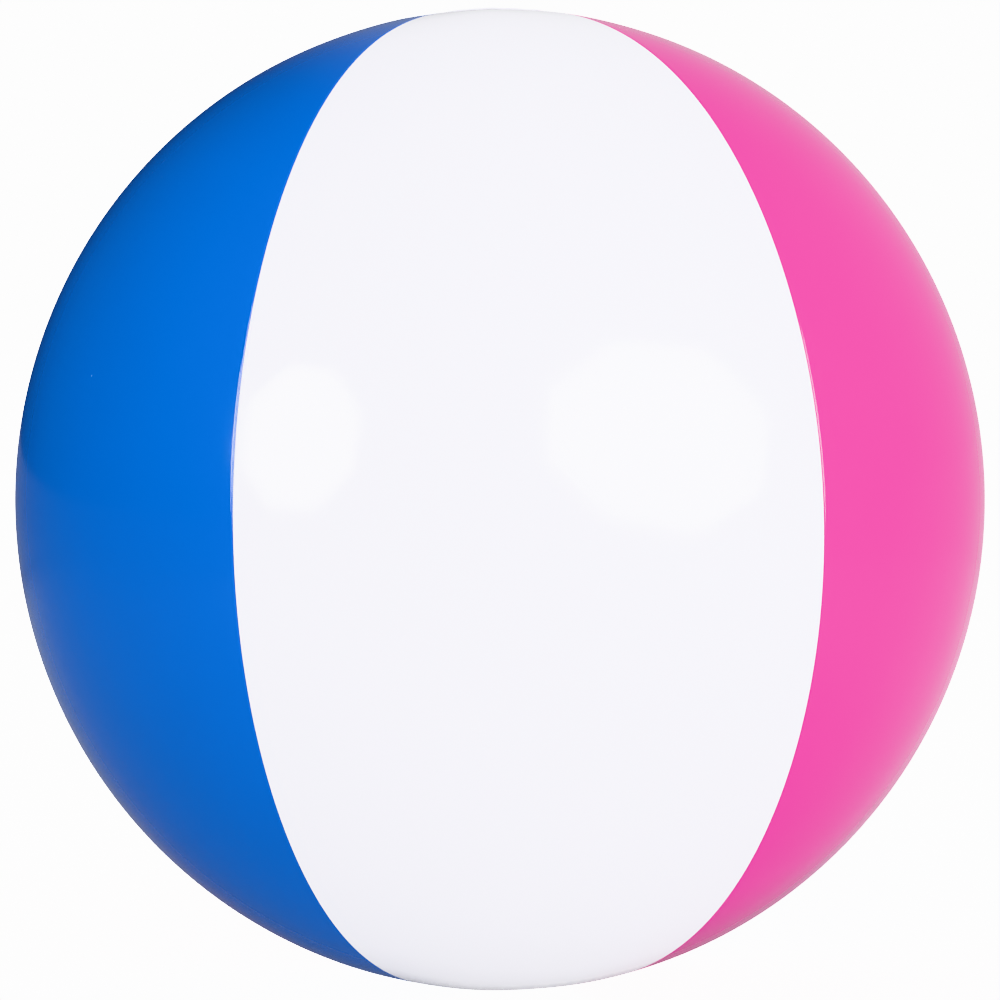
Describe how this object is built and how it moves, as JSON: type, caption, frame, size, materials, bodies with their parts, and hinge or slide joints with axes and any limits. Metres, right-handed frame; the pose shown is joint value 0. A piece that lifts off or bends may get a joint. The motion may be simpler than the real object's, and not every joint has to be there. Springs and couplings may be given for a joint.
{
  "type": "inflatable beach ball",
  "caption": "Inflated beach ball of glossy vinyl gores in blue, white and pink, with lapped end caps and a push-in oral valve with a tethered plug and check flap.",
  "frame": {"origin": "the ball's centre, on the polar axis at the equator's height", "axes": "+Z along the polar axis towards the valve, -Y out of the middle of the front white gore, +X to the right of it"},
  "size_m": [0.386, 0.386, 0.3907],
  "materials": {
    "film_white": "glossy white vinyl film",
    "film_blue": "glossy blue vinyl film",
    "film_pink": "glossy pink vinyl film",
    "valve_vinyl": "milky soft vinyl, satin"
  },
  "bodies": {
    "ball": {"gore_white_front": "film_white", "gore_pink_front_right": "film_pink", "gore_blue_back_right": "film_blue", "gore_white_back": "film_white", "gore_pink_back_left": "film_pink", "gore_blue_front_left": "film_blue", "end_cap_bottom": "film_white", "end_cap_top": "film_white", "valve_flange": "valve_vinyl", "valve_web": "valve_vinyl"},
    "stem": {"valve_stem": "valve_vinyl", "tether_strap": "valve_vinyl"},
    "plug": {"plug": "valve_vinyl"},
    "flap": {"check_flap": "valve_vinyl"}
  },
  "joints": [
    {"name": "valve_slide", "type": "slide", "parent": "ball", "child": "stem", "axis": [0, 0, 1], "range_m": [0, 0.014], "deforming": ["valve_web"]},
    {"name": "plug_flip", "type": "hinge", "parent": "stem", "child": "plug", "pos_m": [-0.0082, 0, 0.19498], "axis": [0, -1, 0], "range_deg": [0, 160], "deforming": ["tether_strap"]},
    {"name": "flap_swing", "type": "hinge", "parent": "stem", "child": "flap", "pos_m": [-0.00595, 0, 0.18363], "axis": [0, 1, 0], "range_deg": [0, 50], "stiffness_Nm_per_rad": 0.0002}
  ]
}
